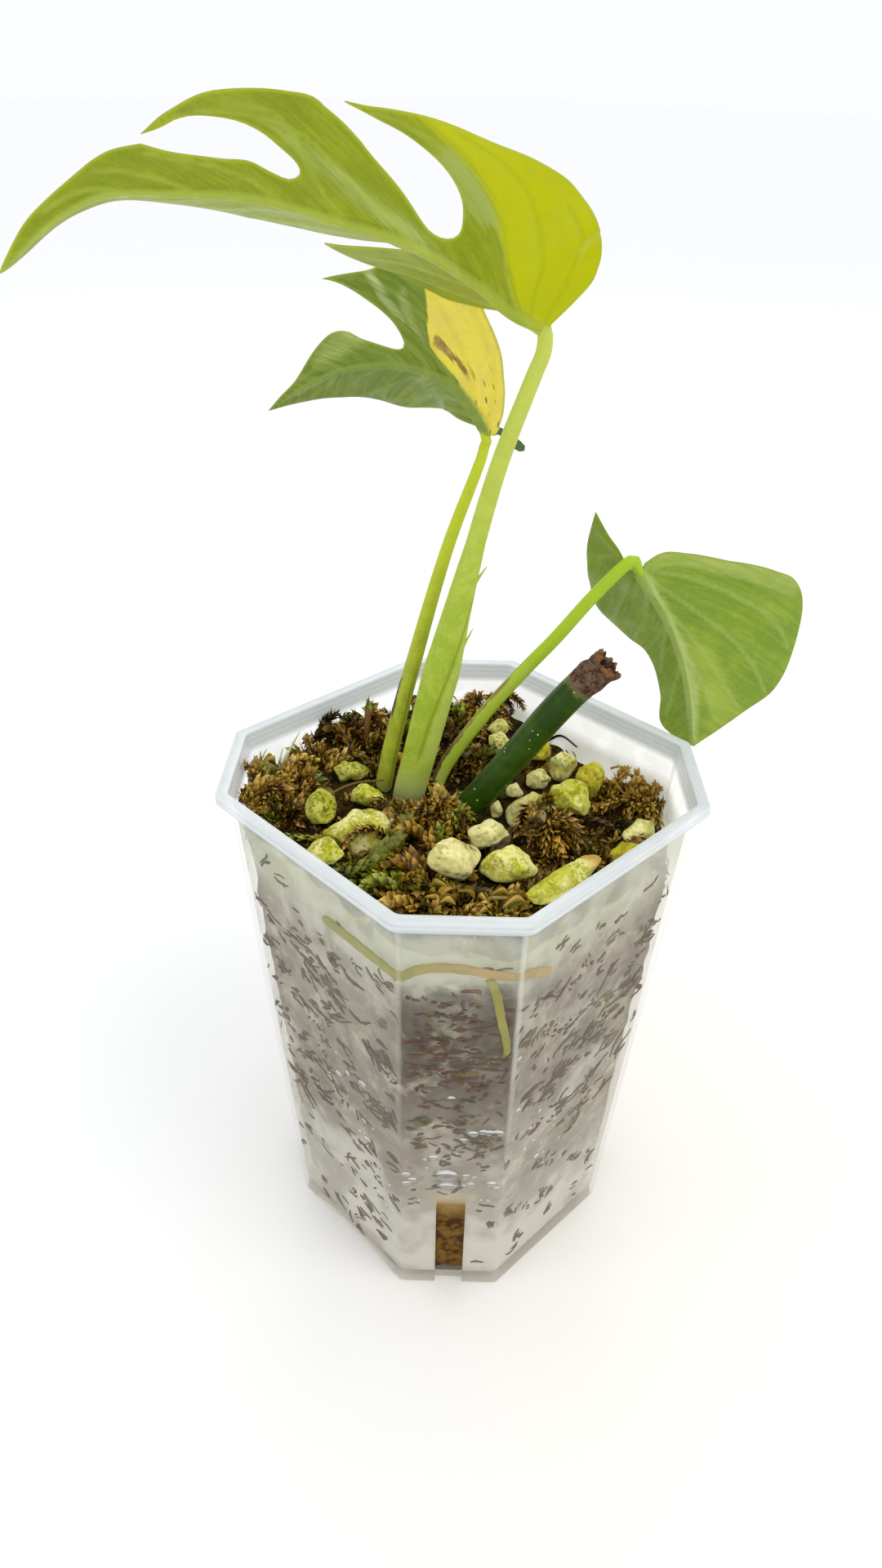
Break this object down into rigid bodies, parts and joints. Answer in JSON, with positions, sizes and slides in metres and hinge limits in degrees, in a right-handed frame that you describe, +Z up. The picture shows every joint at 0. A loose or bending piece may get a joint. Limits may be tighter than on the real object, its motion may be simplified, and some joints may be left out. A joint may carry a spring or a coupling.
{
  "type": "potted mini monstera",
  "caption": "Rooted aroid cutting with slit leaves on slim petioles, growing in moss and pumice in a clear square nursery pot with cut corners.",
  "frame": {"origin": "centre of the pot's base, on the surface that the pot stands on", "axes": "+Z up, along the plant and the pot's axis; X and Y along the pot's sides, with the front corner facet towards +X -Y"},
  "size_m": [0.0964, 0.1262, 0.2234],
  "materials": {
    "pot_plastic": "clear plastic, lightly frosted and scuffed, with condensation inside",
    "moss": "wet sphagnum moss, brown, golden and olive",
    "pumice_cream": "porous stone, cream, stained by water",
    "pumice_yellow": "porous stone, stained ochre yellow",
    "pumice_green": "porous stone, green with algae",
    "cane": "green plant stem, satin, brown and wrinkled at its dried cut, with cream roots",
    "petiole": "smooth pale green leaf stalk, satin",
    "leaf_blade": "leathery leaf, satin, green with cream and yellow variegation"
  },
  "bodies": {
    "root": {"pot": "pot_plastic", "growing_mix": "moss", "pumice_01": "pumice_green", "pumice_02": "pumice_green", "pumice_03": "pumice_yellow", "pumice_04": "pumice_cream", "pumice_05": "pumice_yellow", "pumice_06": "pumice_cream", "pumice_07": "pumice_cream", "pumice_08": "pumice_cream", "pumice_09": "pumice_cream", "pumice_10": "pumice_green", "pumice_11": "pumice_yellow", "pumice_12": "pumice_cream", "pumice_13": "pumice_green", "pumice_14": "pumice_yellow", "pumice_15": "pumice_cream", "pumice_16": "pumice_cream", "pumice_17": "pumice_cream", "pumice_18": "pumice_cream", "pumice_19": "pumice_cream", "pumice_20": "pumice_yellow", "pumice_21": "pumice_cream", "cane": "cane", "petiole_top": "petiole", "petiole_middle": "petiole", "petiole_low": "petiole", "leaf_top": "leaf_blade", "leaf_middle": "leaf_blade", "leaf_low": "leaf_blade"}
  },
  "joints": []
}
